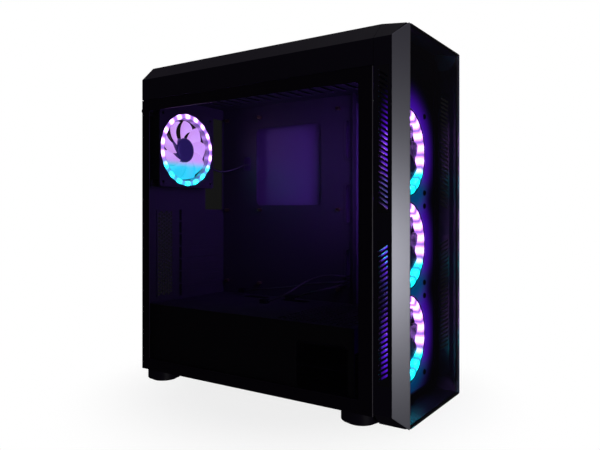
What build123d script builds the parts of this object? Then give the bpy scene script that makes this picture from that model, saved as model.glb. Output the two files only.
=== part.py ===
from build123d import *
import math
import os

os.makedirs("parts", exist_ok=True)

# Outer size: +Z up, front faces -Y, window side is -X, origin on the floor under the middle
HALF_WIDTH = 100.0
FRONT_Y = -220.0
TOP_Z = 482.0
BODY_BOTTOM = 18.0
SHEET = 1.2

# Steel chassis planes
SEAM_Y = -181.0
FRONT_WALL_Y = -179.8
REAR_WALL_Y = 212.0
REAR_INNER_Y = REAR_WALL_Y - SHEET
CHASSIS_HALF = 92.0
FLOOR_Z = BODY_BOTTOM + SHEET
ROOF_Z = 440.0
ROOF_UNDER = ROOF_Z - SHEET
TRAY_X = 83.0
FEET = [(sx * 72.0, y) for sx in (-1, 1) for y in (-150.0, 195.0)]

# 120 mm fans: frame, lit ring and rotor
FAN = 120.0
FAN_DEPTH = 25.0
FAN_SCREW_PITCH = 105.0
FAN_RING_OUTER = 57.0
FAN_RING_INNER = 49.0
FAN_RING_DEPTH = 10.0
FAN_BORE = 52.0
FAN_HUB = 20.0
FAN_BLADE_TIP = 47.5
SHAFT = 1.5
SHAFT_FIT = 0.05
LEAN_SIN = math.sin(math.radians(38))
LEAN_COS = math.cos(math.radians(38))
FRONT_FAN_Z = (90.0, 213.0, 336.0)
REAR_FAN_X = -31.0
REAR_FAN_Z = 357.0
REAR_FAN_Y = REAR_INNER_Y - FAN_DEPTH
FANS = [(0.0, z, FRONT_WALL_Y) for z in FRONT_FAN_Z] + [(REAR_FAN_X, REAR_FAN_Z, REAR_FAN_Y)]
FAN_NAMES = ("fan_lower", "fan_middle", "fan_upper", "fan_rear")

# Front bezel, top cover and side panels
BEVEL = 15.5
SHELL = 2.5
GLASS = 4.0
COVER_FRONT_Y = -180.5
PANEL_FRONT_Y = -180.0
PANEL_REAR_Y = 214.5
PANEL_TOP = 428.0
COVER_SKIRT = 429.0
CHAMFER = 22.0
VENT_Y = (-200.0, -186.5)
VENT_Z = ((258.0, 425.0), (58.0, 222.0))
VENT_TILT = (-1, 1)
VENT_DROP = 11.5 * math.tan(math.radians(34))
WINDOW_Y = (-161.0, 199.0)
WINDOW_Z = (34.0, 411.5)

# Power supply, shroud and drive bay
SHROUD_TOP = 116.0
PSU_X = (-72.0, 78.0)
PSU_Y = (70.8, REAR_INNER_Y)
PSU_Z = (22.0, 108.0)
PSU_FAN = (3.0, 128.0)
PSU_INTAKE = (0.0, 132.0)
CAGE_X = (-62.0, 80.0)
CAGE_Y = (-148.0, -12.0)
CAGE_Z = (FLOOR_Z, 84.0)

# Routes of the leads: rear fan into a cable slot of the tray, and three loose ones above the shroud
REAR_LEAD = [(30, 192, 332), (44, 190, 327), (58, 183, 327), (70, 174, 332), (79, 164, 338), (87, 154, 341)]
REAR_LEAD_RADIUS = 1.6
HEADERS = [
    [(87, -46, 152), (72, -45, 151), (60, -36, 150), (56, -14, 148), (60, 14, 144), (64, 42, 138),
     (60, 70, 134), (54, 98, 131), (58, 124, 128), (66, 144, 124)],
    [(87, -43.5, 146), (70, -43, 146), (52, -38, 144), (38, -24, 140), (34, -4, 134), (42, 14, 129),
     (56, 26, 125), (62, 44, 122)],
    [(87, -45, 158), (74, -43, 158), (66, -30, 160), (64, -10, 158), (56, 8, 152), (44, 20, 144),
     (30, 28, 134), (18, 42, 125), (14, 58, 119.5)]]
HEADER_RADIUS = 1.7


def block(x, y, z, mode=Mode.ADD):
    """A box between two corners."""
    centre = ((x[0] + x[1]) / 2, (y[0] + y[1]) / 2, (z[0] + z[1]) / 2)
    with Locations(centre):
        Box(x[1] - x[0], y[1] - y[0], z[1] - z[0], mode=mode)


def x_plane(x):
    """Upright plane facing +X; its own axes are Y and Z."""
    return Plane.YZ.offset(x)


def y_plane(y):
    """Upright plane facing -Y; its own axes are X and Z."""
    return Plane.XZ.offset(-y)


def z_plane(z):
    """Level plane facing +Z; its own axes are X and Y."""
    return Plane.XY.offset(z)


def rod(plane, points, radius, length, mode=Mode.ADD):
    """Round bars or round holes of one size, starting on a plane."""
    with BuildSketch(plane) as section:
        with Locations(*points):
            Circle(radius)
    extrude(section.sketch, amount=length, mode=mode)


def panels(plane, points, width, height, length, mode=Mode.ADD, corner=0.0):
    """Rectangular bars or windows of one size, starting on a plane."""
    with BuildSketch(plane) as section:
        with Locations(*points):
            if corner > 0:
                RectangleRounded(width, height, corner)
            else:
                Rectangle(width, height)
    extrude(section.sketch, amount=length, mode=mode)


def finish(part, label):
    """Name a piece and write it out."""
    part.label = label
    export_step(part, "parts/" + label + ".step")


def fan_corners(x, z, pitch=FAN_SCREW_PITCH):
    """The four screw places round one fan."""
    half = pitch / 2
    return [(x + sx * half, z + sz * half) for sx in (-1, 1) for sz in (-1, 1)]


def bezel_outline(inset):
    """Outline of the bezel across its width, seen from the front."""
    side = HALF_WIDTH - inset
    top = TOP_Z - inset
    low = 6 + inset
    cut = CHAMFER - inset * 0.586
    foot = BEVEL - inset * 0.586
    return [(-side, top - cut), (-side + cut, top), (side - cut, top), (side, top - cut),
            (side, low + foot), (side - foot, low), (-side + foot, low), (-side, low + foot)]


def bend_radii(points):
    """Largest even bend at each corner of a route."""
    radii = []
    for a, b, c in zip(points, points[1:], points[2:]):
        one, two = Vector(*b) - Vector(*a), Vector(*c) - Vector(*b)
        half = math.radians(one.get_angle(two)) / 2
        radii.append(0.45 * min(one.length, two.length) / math.tan(half))
    return radii


def tube(points, radius):
    """A round cord along straight runs joined by tangent bends."""
    with BuildPart() as cord:
        with BuildLine() as route:
            FilletPolyline(*points, radius=bend_radii(points))
        with BuildSketch(Plane(origin=route.line @ 0, z_dir=route.line % 0)):
            Circle(radius)
        sweep(path=route.line)
    return cord.part


# Steel floor with turned-up side rails, the intake under the power supply and feet holes
with BuildPart() as base_pan:
    block((-CHASSIS_HALF, CHASSIS_HALF), (FRONT_WALL_Y, REAR_INNER_Y), (BODY_BOTTOM, FLOOR_Z))
    for side in (-1, 1):
        edge = sorted((side * CHASSIS_HALF, side * (CHASSIS_HALF - SHEET)))
        block(edge, (FRONT_WALL_Y, REAR_INNER_Y), (FLOOR_Z, FLOOR_Z + 13))
    panels(z_plane(BODY_BOTTOM), [PSU_INTAKE], 82, 118, SHEET, Mode.SUBTRACT, 6)
    rod(z_plane(BODY_BOTTOM), FEET, 3.2, SHEET, Mode.SUBTRACT)
    # Folded rails underneath for the slide-out dust filter
    for x, lip in ((-48, 1), (48, -1)):
        block(sorted((x, x + lip * 2)), (66, 166), (BODY_BOTTOM - 5, BODY_BOTTOM))
        block(sorted((x, x + lip * 6)), (66, 166), (BODY_BOTTOM - 5, BODY_BOTTOM - 3.4))
finish(base_pan.part, "base_pan")

# Front wall behind the bezel, with one round opening for each intake fan
with BuildPart() as front_wall:
    block((-CHASSIS_HALF, CHASSIS_HALF), (SEAM_Y, FRONT_WALL_Y), (BODY_BOTTOM, ROOF_Z))
    for z in FRONT_FAN_Z:
        rod(y_plane(FRONT_WALL_Y), [(0, z)], 59, SHEET, Mode.SUBTRACT)
        rod(y_plane(FRONT_WALL_Y), fan_corners(0, z), 2.3, SHEET, Mode.SUBTRACT)
finish(front_wall.part, "front_wall")

# Rear wall: fan, connector plate, expansion slots, power supply and vent openings
SLOT_PITCH = 20.32
SLOT_Z = [131.0 + SLOT_PITCH * n for n in range(7)]
REAR_VENT = (-57.0, 192.0)
THUMB_X = 92.4
REAR_HALF = 95.6
THUMB_Z = (413.6, 60.0)
with BuildPart() as rear_wall:
    block((-REAR_HALF, REAR_HALF), (REAR_INNER_Y, REAR_WALL_Y), (BODY_BOTTOM, ROOF_Z - 1))
    rod(y_plane(REAR_WALL_Y), [(REAR_FAN_X, REAR_FAN_Z)], 56, SHEET, Mode.SUBTRACT)
    rod(y_plane(REAR_WALL_Y), fan_corners(REAR_FAN_X, REAR_FAN_Z), 2.3, SHEET, Mode.SUBTRACT)
    panels(y_plane(REAR_WALL_Y), [(58.25, 341.5)], 44.45, 158.75, SHEET, Mode.SUBTRACT)
    panels(y_plane(REAR_WALL_Y), [(32, z) for z in SLOT_Z], 92, 15, SHEET, Mode.SUBTRACT)
    panels(y_plane(REAR_WALL_Y), [REAR_VENT], 32, 134, SHEET, Mode.SUBTRACT)
    panels(y_plane(REAR_WALL_Y), [(3, 65)], 138, 76, SHEET, Mode.SUBTRACT)
    screws = [(-THUMB_X, THUMB_Z[0]), (THUMB_X, THUMB_Z[0]), (THUMB_X, THUMB_Z[1])]
    rod(y_plane(REAR_WALL_Y), screws, 1.9, SHEET, Mode.SUBTRACT)
finish(rear_wall.part, "rear_wall")

# Roof plate with turned-down side rails and two rows of air slots
with BuildPart() as top_plate:
    block((-CHASSIS_HALF, CHASSIS_HALF), (FRONT_WALL_Y, REAR_INNER_Y), (ROOF_UNDER, ROOF_Z))
    for side in (-1, 1):
        edge = sorted((side * CHASSIS_HALF, side * (CHASSIS_HALF - SHEET)))
        block(edge, (FRONT_WALL_Y, REAR_INNER_Y), (ROOF_UNDER - 10, ROOF_UNDER))
    slots = [(x, -118.0 + 20 * n) for x in (-30, 30) for n in range(16)]
    panels(z_plane(ROOF_UNDER), slots, 48, 9, SHEET, Mode.SUBTRACT, 4)
finish(top_plate.part, "top_plate")

# Motherboard tray with the cooler cut-out, cable slots and turned front edge
CUTOUT = (70.8, 334.5)
CUTOUT_SIZE = 131.0
TRAY_FRONT_Y = -58.0
CABLE_SLOTS = [(-44.5, z) for z in (170.0, 270.0, 370.0)]
BOARD_Y = (-22.0, 205.33 - 6.0)
BOARD_Z = (137.0, 137.0 + 281.94)
with BuildPart() as motherboard_tray:
    block((TRAY_X, TRAY_X + SHEET), (TRAY_FRONT_Y, REAR_INNER_Y), (FLOOR_Z, ROOF_UNDER))
    block((TRAY_X - 9, TRAY_X), (TRAY_FRONT_Y, TRAY_FRONT_Y + SHEET), (SHROUD_TOP, ROOF_UNDER))
    panels(x_plane(TRAY_X), [CUTOUT], CUTOUT_SIZE, CUTOUT_SIZE, SHEET, Mode.SUBTRACT, 10)
    panels(x_plane(TRAY_X), CABLE_SLOTS, 12, 62, SHEET, Mode.SUBTRACT, 5)
    panels(x_plane(TRAY_X), [(25, 60)], 50, 62, SHEET, Mode.SUBTRACT, 8)
    panels(x_plane(TRAY_X), [(156, 341)], 16, 24, SHEET, Mode.SUBTRACT, 5)
    # Room below for the drive trays to come out sideways
    block((TRAY_X - 1, TRAY_X + 2), (TRAY_FRONT_Y - 1, -8), (FLOOR_Z - 1, 100), Mode.SUBTRACT)
finish(motherboard_tray.part, "motherboard_tray")

# Nine brass standoffs in the ATX pattern, 6.5 mm tall, tapped right through
STANDOFF_Y = (BOARD_Y[1] - 227.33, BOARD_Y[1] - 72.39, BOARD_Y[1])
STANDOFF_Z = (BOARD_Z[0], BOARD_Z[0] + 124.46, BOARD_Z[1])
STANDOFFS = [(y, z) for y in STANDOFF_Y for z in STANDOFF_Z]
with BuildPart() as standoffs:
    with BuildSketch(x_plane(TRAY_X - 6.5)) as section:
        with Locations(*STANDOFFS):
            RegularPolygon(3, 6)
            Circle(1.55, mode=Mode.SUBTRACT)
    extrude(amount=6.5)
finish(standoffs.part, "motherboard_standoffs")

# Sheet cover over the lower chamber: side wall with a drive window, and its front wall
with BuildPart() as psu_shroud:
    block((-90, -89), (-150, REAR_INNER_Y), (FLOOR_Z, SHROUD_TOP - 1))
    block((-89, TRAY_X), (-150, -149), (FLOOR_Z + 66, SHROUD_TOP - 1))
    panels(x_plane(-90), [(-103, 62)], 76, 62, 1.0, Mode.SUBTRACT, 6)
finish(psu_shroud.part, "psu_shroud")

# Punched roof of the lower chamber
HOLES = [(-75.0 + 9 * i, -136.0 + 9 * j) for i in range(17) for j in range(13)]
with BuildPart() as shroud_roof:
    block((-90, TRAY_X), (-150, REAR_INNER_Y), (SHROUD_TOP - 1, SHROUD_TOP))
    rod(z_plane(SHROUD_TOP - 1), HOLES, 3.0, 1.0, Mode.SUBTRACT)
    panels(z_plane(SHROUD_TOP - 1), [(62, 40), (62, 120)], 18, 50, 1.0, Mode.SUBTRACT, 6)
finish(shroud_roof.part, "shroud_roof")

# Seven blanking covers hooked into the expansion slots from inside
with BuildPart() as slot_covers:
    for z in SLOT_Z:
        block((-24, 80), (REAR_INNER_Y - 1, REAR_INNER_Y), (z - 9, z + 9))
        block((-25, -24), (REAR_INNER_Y - 5, REAR_INNER_Y), (z - 9, z + 9))
        block((-14, 70), (REAR_INNER_Y - 1.8, REAR_INNER_Y - 1), (z - 1.5, z + 1.5))
finish(slot_covers.part, "expansion_slot_covers")

# Honeycomb vent plates behind the rear opening, plain outlines here
with BuildPart() as rear_vent:
    block((-75, -39), (REAR_INNER_Y - 1, REAR_INNER_Y), (REAR_VENT[1] - 69, REAR_VENT[1] + 69))
    hexes = [(-70.0 + 5.2 * i, 128.0 + 6 * j + 3 * (i % 2)) for i in range(6) for j in range(22)]
    with BuildSketch(y_plane(REAR_INNER_Y)) as section:
        with Locations(*hexes):
            RegularPolygon(2.5, 6)
    extrude(section.sketch, amount=1, mode=Mode.SUBTRACT)
finish(rear_vent.part, "rear_vent")

# Round feet and their rubber pads
with BuildPart() as feet:
    for spot in FEET:
        rod(z_plane(3), [spot], 25, BODY_BOTTOM - 3)
        rod(z_plane(3), [spot], 20, 2, Mode.SUBTRACT)
    chamfer(feet.edges().filter_by(GeomType.CIRCLE).group_by(Axis.Z)[0], 0.4)
finish(feet.part, "feet")

with BuildPart() as foot_pads:
    for spot in FEET:
        rod(z_plane(0), [spot], 19.6, 5)
    chamfer(foot_pads.edges().group_by(Axis.Z)[0], 0.8)
finish(foot_pads.part, "foot_pads")

# Four identical lit 120 mm fans; each has a frame, a light ring and a rotor on a shaft
for name, (x, z, y) in zip(FAN_NAMES, FANS):
    back = y + FAN_DEPTH
    with BuildPart() as frame:
        panels(y_plane(back), [(x, z)], FAN, FAN, FAN_DEPTH, corner=6)
        rod(y_plane(back), [(x, z)], FAN_BORE, FAN_DEPTH, Mode.SUBTRACT)
        rod(y_plane(y + FAN_RING_DEPTH), [(x, z)], FAN_RING_OUTER + 0.4, FAN_RING_DEPTH, Mode.SUBTRACT)
        rod(y_plane(back), fan_corners(x, z), 2.2, FAN_DEPTH, Mode.SUBTRACT)
        for sx in (-1, 1):
            for sz in (-1, 1):
                waist = [(x + sx * 56.0, z + sz * 56.0)]
                panels(y_plane(back - 4), waist, 15, 15, FAN_DEPTH - 8, Mode.SUBTRACT)
        with BuildSketch(y_plane(back)) as section:
            with Locations((x, z)):
                for turn in (45, 135):
                    Rectangle(FAN_BORE * 2 + 2, 5, rotation=turn)
                Circle(FAN_HUB)
                Circle(SHAFT + SHAFT_FIT, mode=Mode.SUBTRACT)
        extrude(section.sketch, amount=3.5)
        with BuildSketch(y_plane(back - 3.5)) as section:
            with Locations((x, z)):
                Circle(4)
                Circle(SHAFT + SHAFT_FIT, mode=Mode.SUBTRACT)
        extrude(section.sketch, amount=8)
    finish(frame.part, name + "_frame")

    with BuildPart() as ring:
        with BuildSketch(y_plane(y + FAN_RING_DEPTH)) as section:
            with Locations((x, z)):
                Circle(FAN_RING_OUTER)
                Circle(FAN_RING_INNER, mode=Mode.SUBTRACT)
        extrude(amount=FAN_RING_DEPTH)
        chamfer(ring.edges().group_by(Axis.Y)[0], 0.8)
    finish(ring.part, name + "_light_ring")

    hub_back = back - 4.5
    with BuildPart() as rotor:
        rod(y_plane(hub_back), [(x, z)], FAN_HUB, hub_back - y - 3)
        rod(y_plane(hub_back), [(x, z)], FAN_HUB - 2, 11, Mode.SUBTRACT)
        rod(y_plane(back - 0.5), [(x, z)], SHAFT, 15.5)
        middle = y + 13.0
        for n in range(9):
            turn = math.radians(40 * n)
            reach = (FAN_HUB - 1 + FAN_BLADE_TIP) / 2
            spot = (x + reach * math.cos(turn), middle, z + reach * math.sin(turn))
            out = (math.cos(turn), 0, math.sin(turn))
            normal = (-math.sin(turn) * LEAN_SIN, LEAN_COS, math.cos(turn) * LEAN_SIN)
            with Locations(Plane(origin=spot, x_dir=out, z_dir=normal).location):
                Box(FAN_BLADE_TIP - FAN_HUB, 17, 1.6)
    finish(rotor.part, name + "_rotor")

# Self-tapping fan screws through the front wall and the rear wall
with BuildPart() as fan_screws:
    for x, z, y in FANS[:3]:
        rod(y_plane(SEAM_Y), fan_corners(x, z), 3.8, 2)
        rod(y_plane(SEAM_Y + 9), fan_corners(x, z), 1.8, 9)
    rear = fan_corners(REAR_FAN_X, REAR_FAN_Z)
    rod(y_plane(REAR_WALL_Y + 2), rear, 3.8, 2)
    rod(y_plane(REAR_WALL_Y), rear, 1.8, 9)
finish(fan_screws.part, "fan_screws")

# Power supply: case, bottom fan with its wire guard, inlet and switch
with BuildPart() as psu_case:
    block(PSU_X, PSU_Y, PSU_Z)
    inside = [(low + 1, high - 1) for low, high in (PSU_X, PSU_Y, PSU_Z)]
    block(*inside, Mode.SUBTRACT)
    rod(z_plane(PSU_Z[0]), [PSU_FAN], 60, 1, Mode.SUBTRACT)
    rod(z_plane(PSU_Z[0] + 26), [PSU_FAN], 10, 4)
    panels(z_plane(PSU_Z[0] + 26), [PSU_FAN], 148, 8, 4)
    rod(z_plane(PSU_Z[0] + 20), [PSU_FAN], SHAFT + SHAFT_FIT, 12, Mode.SUBTRACT)
    panels(y_plane(REAR_INNER_Y), [(52, 82)], 28, 21, 1, Mode.SUBTRACT)
    panels(y_plane(REAR_INNER_Y), [(52, 50)], 19.4, 13.4, 1, Mode.SUBTRACT)
    vents = [(-58.0 + 9.5 * i, 36.0 + 11 * j) for i in range(9) for j in range(6)]
    panels(y_plane(REAR_INNER_Y), vents, 7.5, 8, 1, Mode.SUBTRACT, 2)
finish(psu_case.part, "psu_case")

with BuildPart() as psu_rotor:
    rod(z_plane(PSU_Z[0] + 6), [PSU_FAN], 18, 18)
    rod(z_plane(PSU_Z[0] + 20), [PSU_FAN], SHAFT, 9.5)
    for n in range(7):
        turn = math.radians(360 / 7 * n)
        spot = (PSU_FAN[0] + 36 * math.cos(turn), PSU_FAN[1] + 36 * math.sin(turn), PSU_Z[0] + 15)
        out = (math.cos(turn), math.sin(turn), 0)
        normal = (-math.sin(turn) * LEAN_SIN, math.cos(turn) * LEAN_SIN, LEAN_COS)
        with Locations(Plane(origin=spot, x_dir=out, z_dir=normal).location):
            Box(38, 18, 1.6)
finish(psu_rotor.part, "psu_fan_rotor")

with BuildPart() as psu_guard:
    for radius in (58, 44, 30, 16):
        with BuildSketch(z_plane(PSU_Z[0] - 1.6)) as section:
            with Locations(PSU_FAN):
                Circle(radius + 1)
                Circle(radius - 1, mode=Mode.SUBTRACT)
        extrude(section.sketch, amount=1.6)
    with BuildSketch(z_plane(PSU_Z[0] - 1.6)) as section:
        with Locations(PSU_FAN):
            for turn in (45, 135):
                Rectangle(2 * 66, 2, rotation=turn)
    extrude(section.sketch, amount=1.6)
finish(psu_guard.part, "psu_fan_guard")

with BuildPart() as psu_inlet:
    panels(y_plane(REAR_INNER_Y + 2.4), [(52, 82)], 27.6, 20.6, 24)
    panels(y_plane(REAR_INNER_Y + 2.4), [(52, 82)], 24.6, 17, 20, Mode.SUBTRACT, 3)
    panels(y_plane(REAR_INNER_Y - 2.6), [(45, 80), (59, 80), (52, 84)], 2, 4, 15)
finish(psu_inlet.part, "psu_power_inlet")

with BuildPart() as psu_switch_frame:
    panels(y_plane(REAR_INNER_Y + 2), [(52, 50)], 19, 13, 16)
    panels(y_plane(REAR_INNER_Y + 2), [(52, 50)], 16, 10, 12, Mode.SUBTRACT)
finish(psu_switch_frame.part, "psu_switch_frame")

with BuildPart() as psu_switch:
    with BuildSketch(z_plane(45.6)) as section:
        with Locations((52, REAR_INNER_Y - 4)):
            Circle(5)
            Polygon([(-5.8, 4.8), (0, 3.8), (5.8, 6.4), (5, -0.5), (-5, -0.5)], align=None)
    extrude(section.sketch, amount=8.8)
finish(psu_switch.part, "psu_switch_rocker")

# Drive cage: one folded sheet with two shelves, and its two slide-in trays
with BuildPart() as drive_cage:
    block(CAGE_X, CAGE_Y, CAGE_Z)
    hollow = ((CAGE_X[0] - 1, CAGE_X[1] + 1), (CAGE_Y[0] + 1, CAGE_Y[1] - 1), (CAGE_Z[0] + 1, CAGE_Z[1] - 1))
    block(*hollow, Mode.SUBTRACT)
    for side in (CAGE_Y[0] + 1, CAGE_Y[1] - 7):
        block(CAGE_X, (side, side + 6), (51, 52))
finish(drive_cage.part, "drive_cage")

for name, low in (("drive_tray_lower", FLOOR_Z + 1), ("drive_tray_upper", 52.0)):
    tray_y = (CAGE_Y[0] + 1.5, CAGE_Y[1] - 1.5)
    with BuildPart() as tray:
        block((CAGE_X[0] + 1, CAGE_X[1]), tray_y, (low, low + 2))
        block((CAGE_X[1] - 3, CAGE_X[1]), tray_y, (low + 2, low + 26))
        for wall in (tray_y[0], tray_y[1] - 2):
            block((CAGE_X[0] + 1, CAGE_X[1] - 3), (wall, wall + 2), (low + 2, low + 16))
        panels(x_plane(CAGE_X[1] - 3), [(-80, low + 14)], 60, 8, 3, Mode.SUBTRACT, 3)
        panels(z_plane(low), [(5, -80)], 80, 70, 2, Mode.SUBTRACT, 8)
    finish(tray.part, name)

# Rubber edge rings in the cable slots of the tray
with BuildPart() as grommets:
    with BuildSketch(x_plane(TRAY_X - 1.2)) as section:
        with Locations(*CABLE_SLOTS):
            RectangleRounded(17, 67, 7)
            RectangleRounded(8, 58, 3.5, mode=Mode.SUBTRACT)
    extrude(amount=1.2)
    with BuildSketch(x_plane(TRAY_X)) as section:
        with Locations(*CABLE_SLOTS):
            RectangleRounded(11.8, 61.8, 4.9)
            RectangleRounded(8, 58, 3.5, mode=Mode.SUBTRACT)
    extrude(amount=SHEET)
finish(grommets.part, "cable_grommets")

# Fan and light splitter box behind the tray
with BuildPart() as fan_hub:
    block((TRAY_X + SHEET, TRAY_X + SHEET + 6), (150, 200), (150, 230))
    panels(x_plane(TRAY_X + SHEET + 3), [(160 + 10 * n, 222) for n in range(4)], 7, 5, 3, Mode.SUBTRACT)
finish(fan_hub.part, "fan_hub")

# Front bezel: four-sided shell between the glass and the steel front wall
# The room inside the bezel, with the same falling roof as its outside
with BuildPart() as bezel_room:
    with BuildSketch(y_plane(SEAM_Y)) as section:
        Polygon(bezel_outline(SHELL), align=None)
    extrude(section.sketch, amount=SEAM_Y - FRONT_Y)
    with BuildSketch(x_plane(-HALF_WIDTH)) as section:
        Polygon([(FRONT_Y, 473.0), (SEAM_Y, TOP_Z - SHELL),
                 (SEAM_Y, TOP_Z + 5), (FRONT_Y, TOP_Z + 5)], align=None)
    extrude(section.sketch, amount=2 * HALF_WIDTH, mode=Mode.SUBTRACT)

with BuildPart() as front_bezel:
    with BuildSketch(y_plane(SEAM_Y)) as section:
        Polygon(bezel_outline(0), align=None)
    extrude(section.sketch, amount=SEAM_Y - FRONT_Y)
    add(bezel_room.part, mode=Mode.SUBTRACT)
    # Roof falls slightly to the front
    with BuildSketch(x_plane(-HALF_WIDTH)) as section:
        Polygon([(FRONT_Y, 475.5), (SEAM_Y, TOP_Z),
                 (SEAM_Y, TOP_Z + 5), (FRONT_Y - 5, TOP_Z + 5)], align=None)
    extrude(section.sketch, amount=2 * HALF_WIDTH, mode=Mode.SUBTRACT)
    # Room for the bevelled strips and the glass at the front corners
    for side in (-1, 1):
        with BuildSketch(z_plane(0)) as section:
            Polygon([(side * 101, FRONT_Y + BEVEL - 0.001), (side * HALF_WIDTH, FRONT_Y + BEVEL),
                     (side * (HALF_WIDTH - 1.2), FRONT_Y + BEVEL), (side * 82, FRONT_Y + 4.3),
                     (side * 82, FRONT_Y - 1), (side * 101, FRONT_Y - 1)], align=None)
        extrude(section.sketch, amount=TOP_Z, mode=Mode.SUBTRACT)
    block((-HALF_WIDTH, HALF_WIDTH), (FRONT_Y - 1, FRONT_Y + GLASS), (0, TOP_Z), Mode.SUBTRACT)
    # Corner posts behind the strips give the glass an upright ledge
    for side in (-1, 1):
        with BuildSketch(z_plane(24)) as section:
            Polygon([(side * 98, -204.5), (side * 84.8, -216), (side * 80, -216),
                     (side * 80, -213), (side * 96, -201), (side * 98, -201)], align=None)
        extrude(section.sketch, amount=434)
    # Flat openings that hold the slanted vent inserts
    for low, high in VENT_Z:
        size = (VENT_Y[1] - VENT_Y[0] + 2, high - low + 4)
        spot = [((VENT_Y[0] + VENT_Y[1]) / 2, (low + high) / 2)]
        panels(x_plane(-HALF_WIDTH - 1), spot, size[0], size[1], SHELL + 2, Mode.SUBTRACT)
        panels(x_plane(HALF_WIDTH - SHELL - 1), spot, size[0], size[1], SHELL + 2, Mode.SUBTRACT)
    # Inner flange screwed to the steel wall
    with BuildSketch(y_plane(SEAM_Y)) as section:
        Polygon(bezel_outline(SHELL), align=None)
        with Locations((0, 243)):
            RectangleRounded(170, 448, 6, mode=Mode.SUBTRACT)
    extrude(section.sketch, amount=2.5)
finish(front_bezel.part, "front_bezel")

# Slanted-slot inserts in the bezel sides
for name, side in (("side_vents_left", -1), ("side_vents_right", 1)):
    with BuildPart() as vents:
        for (low, high), tilt in zip(VENT_Z, VENT_TILT):
            outer = sorted((side * HALF_WIDTH, side * (HALF_WIDTH - SHELL)))
            block(outer, (VENT_Y[0] - 1, VENT_Y[1] + 1), (low - 2, high + 2))
            drop = tilt * VENT_DROP
            with BuildSketch(x_plane(outer[0])) as section:
                for n in range(26):
                    z = low + 8 + (high - low - 16) / 25 * n
                    y0, y1 = VENT_Y[0] + 1, VENT_Y[1] - 1
                    Polygon([(y0, z + drop / 2 - 1.4), (y0, z + drop / 2 + 1.4),
                             (y1, z - drop / 2 + 1.4), (y1, z - drop / 2 - 1.4)], align=None)
            extrude(section.sketch, amount=SHELL, mode=Mode.SUBTRACT)
    finish(vents.part, name)

# Smoked glass front and the bevelled metal strips beside it
with BuildPart() as front_glass:
    panels(y_plane(FRONT_Y + GLASS), [(0, 240.75)], 169, 469.5, GLASS, corner=4.5)
    chamfer(front_glass.edges().group_by(Axis.Y)[0], 0.5)
finish(front_glass.part, "front_glass")

for name, side in (("trim_strip_left", -1), ("trim_strip_right", 1)):
    with BuildPart() as strip:
        with BuildSketch(z_plane(0)) as section:
            Polygon([(side * HALF_WIDTH, FRONT_Y + BEVEL), (side * 84.8, FRONT_Y + 0.3),
                     (side * 84.8, FRONT_Y + 1.9), (side * 98.8, FRONT_Y + BEVEL)], align=None)
        extrude(section.sketch, amount=TOP_Z)
        with BuildSketch(y_plane(0)) as section:
            Polygon([(-130, 0), (130, 0), (130, 500), (-130, 500)], align=None)
            Polygon([(-100, 21.5), (-84.5, 6), (84.5, 6), (100, 21.5), (100, 460),
                     (84.5, 475.5), (-84.5, 475.5), (-100, 460)], align=None, mode=Mode.SUBTRACT)
        extrude(section.sketch, amount=-2 * FRONT_Y, mode=Mode.SUBTRACT)
    finish(strip.part, name)

# Chamfered top cover over the roof plate
with BuildPart() as top_cover:
    for inset, mode in ((0, Mode.ADD), (SHELL, Mode.SUBTRACT)):
        side = HALF_WIDTH - inset
        cut = CHAMFER - inset * 0.586
        with BuildSketch(y_plane(PANEL_REAR_Y - inset)) as section:
            Polygon([(-side, COVER_SKIRT), (-side, TOP_Z - inset - cut),
                     (-side + cut, TOP_Z - inset), (side - cut, TOP_Z - inset),
                     (side, TOP_Z - inset - cut), (side, COVER_SKIRT)], align=None)
        extrude(section.sketch, amount=PANEL_REAR_Y - COVER_FRONT_Y - 2 * inset, mode=mode)
    # The front and rear closing walls reach down to the steel roof
    across = (-CHASSIS_HALF - 0.3, CHASSIS_HALF + 0.3)
    block(across, (COVER_FRONT_Y - 1, FRONT_WALL_Y + 4), (COVER_SKIRT, ROOF_Z), Mode.SUBTRACT)
    block(across, (200, PANEL_REAR_Y + 1), (COVER_SKIRT, ROOF_Z), Mode.SUBTRACT)
    block((-60.4, 60.4), (-120.4, 180.4), (TOP_Z - SHELL, TOP_Z), Mode.SUBTRACT)
    # Ledge that carries the dust filter
    block((-64, 64), (-124, 184), (TOP_Z - SHELL - 2, TOP_Z - SHELL))
    block((-56, 56), (-116, 176), (TOP_Z - SHELL - 2, TOP_Z - SHELL), Mode.SUBTRACT)
    rod(z_plane(TOP_Z - SHELL), [(-50, -158)], 8.4, SHELL, Mode.SUBTRACT)
    rod(z_plane(TOP_Z - SHELL), [(-30, -158)], 3.9, SHELL, Mode.SUBTRACT)
    rod(z_plane(TOP_Z - SHELL), [(-19, -158)], 1.6, SHELL, Mode.SUBTRACT)
    rod(z_plane(TOP_Z - SHELL), [(-4, -158), (10, -158)], 3.4, SHELL, Mode.SUBTRACT)
    panels(z_plane(TOP_Z - SHELL), [(29, -158), (49, -158)], 14.4, 6.6, SHELL, Mode.SUBTRACT)
finish(top_cover.part, "top_cover")

# Lift-off dust filter of the top cover
with BuildPart() as top_filter:
    block((-60, 60), (-120, 180), (TOP_Z - SHELL, TOP_Z - 0.5))
    gaps = [(x, -105.0 + 15 * n) for x in (-29, 29) for n in range(20)]
    panels(z_plane(TOP_Z - SHELL), gaps, 52, 11, SHELL, Mode.SUBTRACT, 1)
finish(top_filter.part, "top_dust_filter")

# Control strip in the top cover: board, buttons, light, sound and USB sockets
with BuildPart() as io_board:
    block((-64, 64), (-170, -146), (TOP_Z - 18, TOP_Z - 16.4))
    panels(z_plane(TOP_Z - 16.4), [(-62, -158), (62, -158)], 3.6, 8, 16.4 - SHELL)
    rod(z_plane(TOP_Z - 16.4), [(-50, -158), (-30, -158)], 2.5, 8)
finish(io_board.part, "control_board")

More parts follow.
